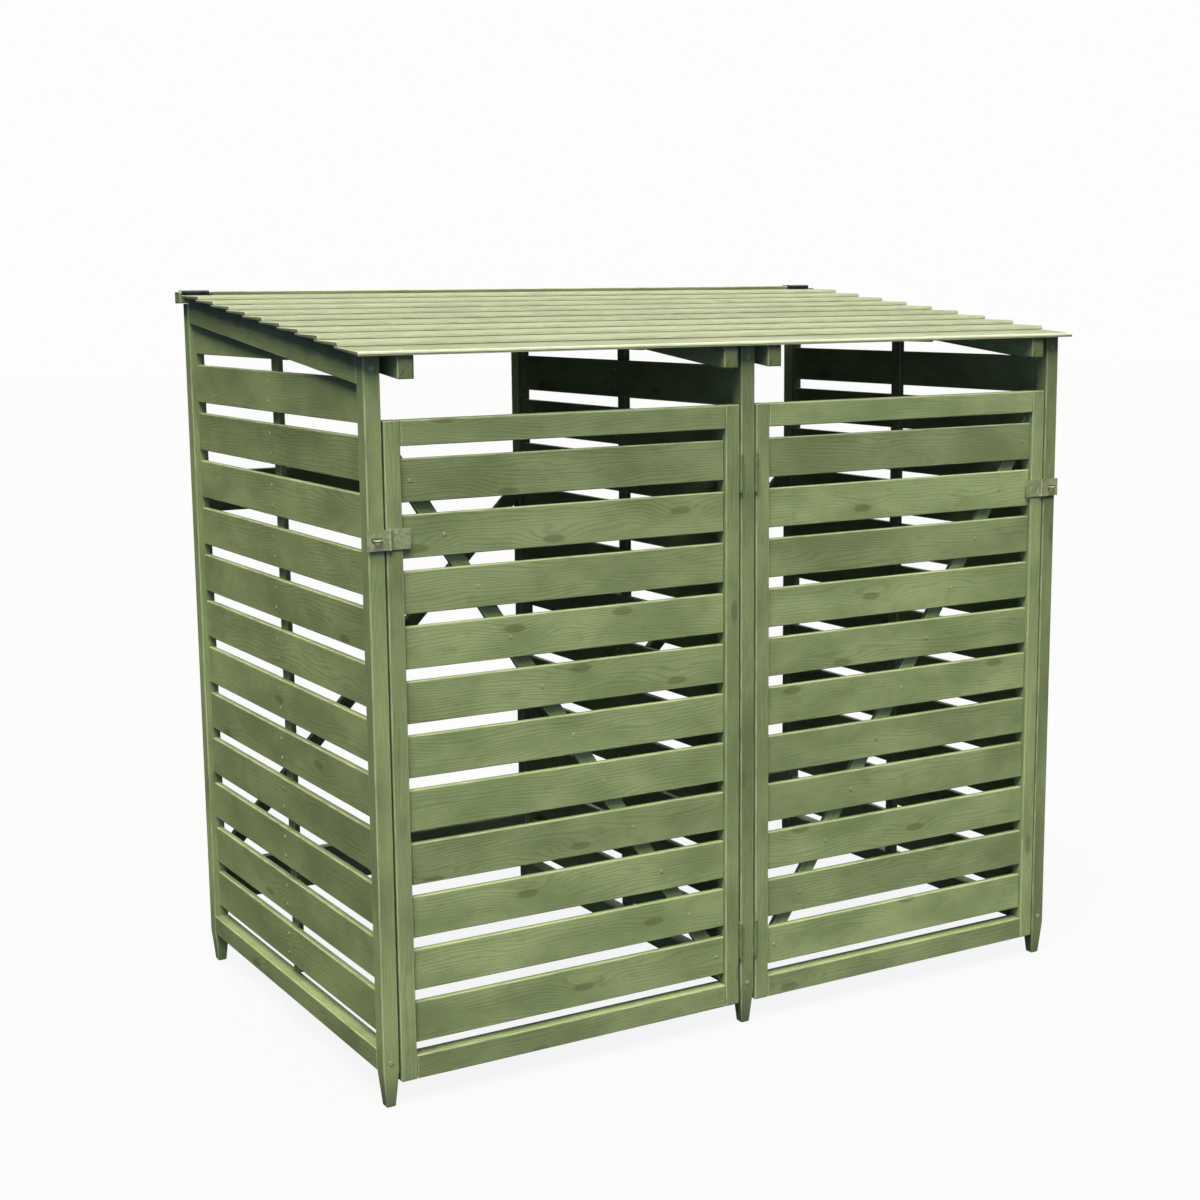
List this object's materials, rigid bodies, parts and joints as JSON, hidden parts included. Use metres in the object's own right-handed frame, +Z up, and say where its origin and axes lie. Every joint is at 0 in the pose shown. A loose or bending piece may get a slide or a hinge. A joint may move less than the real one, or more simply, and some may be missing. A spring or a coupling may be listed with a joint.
{
  "type": "wheeled bin store",
  "caption": "Slatted timber store for wheeled litter bins, with hasped front doors hung on a centre post, side and centre walls, a braced open back and a sloping boarded lid hinged along the rear rail.",
  "frame": {"origin": "on the ground, at the middle of the overall box seen from above", "axes": "+Z up; the doors face -Y; X runs along the front and is the longest side"},
  "size_m": [1.43, 0.8529, 1.2967],
  "materials": {
    "door_timber": "matt green stain on planed softwood",
    "wall_timber": "matt green stain on planed softwood",
    "roof_timber": "matt pale green stain on tapered boards",
    "frame_timber": "matt green stain on square framing",
    "zinc": "dull zinc plating",
    "hinge_steel": "stained over with the timber",
    "black_steel": "black japanned steel"
  },
  "bodies": {
    "frame": {"left_wall_front_post": "frame_timber", "left_wall_rear_post": "frame_timber", "left_wall_top_rail": "frame_timber", "left_wall_bottom_rail": "frame_timber", "left_wall_slats": "wall_timber", "divider_front_post": "frame_timber", "divider_rear_post": "frame_timber", "divider_top_rail": "frame_timber", "divider_bottom_rail": "frame_timber", "divider_slats": "wall_timber", "right_wall_front_post": "frame_timber", "right_wall_rear_post": "frame_timber", "right_wall_top_rail": "frame_timber", "right_wall_bottom_rail": "frame_timber", "right_wall_slats": "wall_timber", "rear_top_rail": "frame_timber", "left_back_frame": "frame_timber", "right_back_frame": "frame_timber", "left_lid_hinge_frame_leaf": "black_steel", "right_lid_hinge_frame_leaf": "black_steel", "left_lower_hinge_frame_leaf": "hinge_steel", "left_upper_hinge_frame_leaf": "hinge_steel", "right_lower_hinge_frame_leaf": "hinge_steel", "right_upper_hinge_frame_leaf": "hinge_steel", "left_hasp_staple": "zinc", "right_hasp_staple": "zinc"},
    "lid": {"roof_board_01": "roof_timber", "roof_board_02": "roof_timber", "roof_board_03": "roof_timber", "roof_board_04": "roof_timber", "roof_board_05": "roof_timber", "roof_board_06": "roof_timber", "roof_board_07": "roof_timber", "roof_board_08": "roof_timber", "roof_board_09": "roof_timber", "roof_board_10": "roof_timber", "left_outer_roof_bearer": "frame_timber", "left_inner_roof_bearer": "frame_timber", "right_inner_roof_bearer": "frame_timber", "right_outer_roof_bearer": "frame_timber", "left_lid_hinge_lid_leaf": "black_steel", "right_lid_hinge_lid_leaf": "black_steel"},
    "left_door": {"left_door_hinge_stile": "door_timber", "left_door_latch_stile": "door_timber", "left_door_bottom_rail": "door_timber", "left_door_top_rail": "door_timber", "left_door_slats": "door_timber", "left_lower_hinge_door_leaf": "hinge_steel", "left_upper_hinge_door_leaf": "hinge_steel", "left_hasp_leaf": "zinc"},
    "right_door": {"right_door_hinge_stile": "door_timber", "right_door_latch_stile": "door_timber", "right_door_bottom_rail": "door_timber", "right_door_top_rail": "door_timber", "right_door_slats": "door_timber", "right_lower_hinge_door_leaf": "hinge_steel", "right_upper_hinge_door_leaf": "hinge_steel", "right_hasp_leaf": "zinc"},
    "left_strap": {"left_hasp_strap": "zinc"},
    "right_strap": {"right_hasp_strap": "zinc"}
  },
  "joints": [
    {"name": "lid_hinge", "type": "hinge", "parent": "frame", "child": "lid", "pos_m": [0, 0.393, 1.29222], "axis": [-1, 0, 0], "range_deg": [0, 96]},
    {"name": "left_door_hinge", "type": "hinge", "parent": "frame", "child": "left_door", "pos_m": [-0.0156, -0.4098, 0.568], "axis": [0, 0, 1], "range_deg": [0, 90]},
    {"name": "right_door_hinge", "type": "hinge", "parent": "frame", "child": "right_door", "pos_m": [0.0156, -0.4098, 0.568], "axis": [0, 0, -1], "range_deg": [0, 90]},
    {"name": "left_strap_hinge", "type": "hinge", "parent": "left_door", "child": "left_strap", "pos_m": [-0.664, -0.4098, 0.915], "axis": [0, 0, 1], "range_deg": [0, 178]},
    {"name": "right_strap_hinge", "type": "hinge", "parent": "right_door", "child": "right_strap", "pos_m": [0.664, -0.4098, 0.915], "axis": [0, 0, -1], "range_deg": [0, 178]}
  ]
}
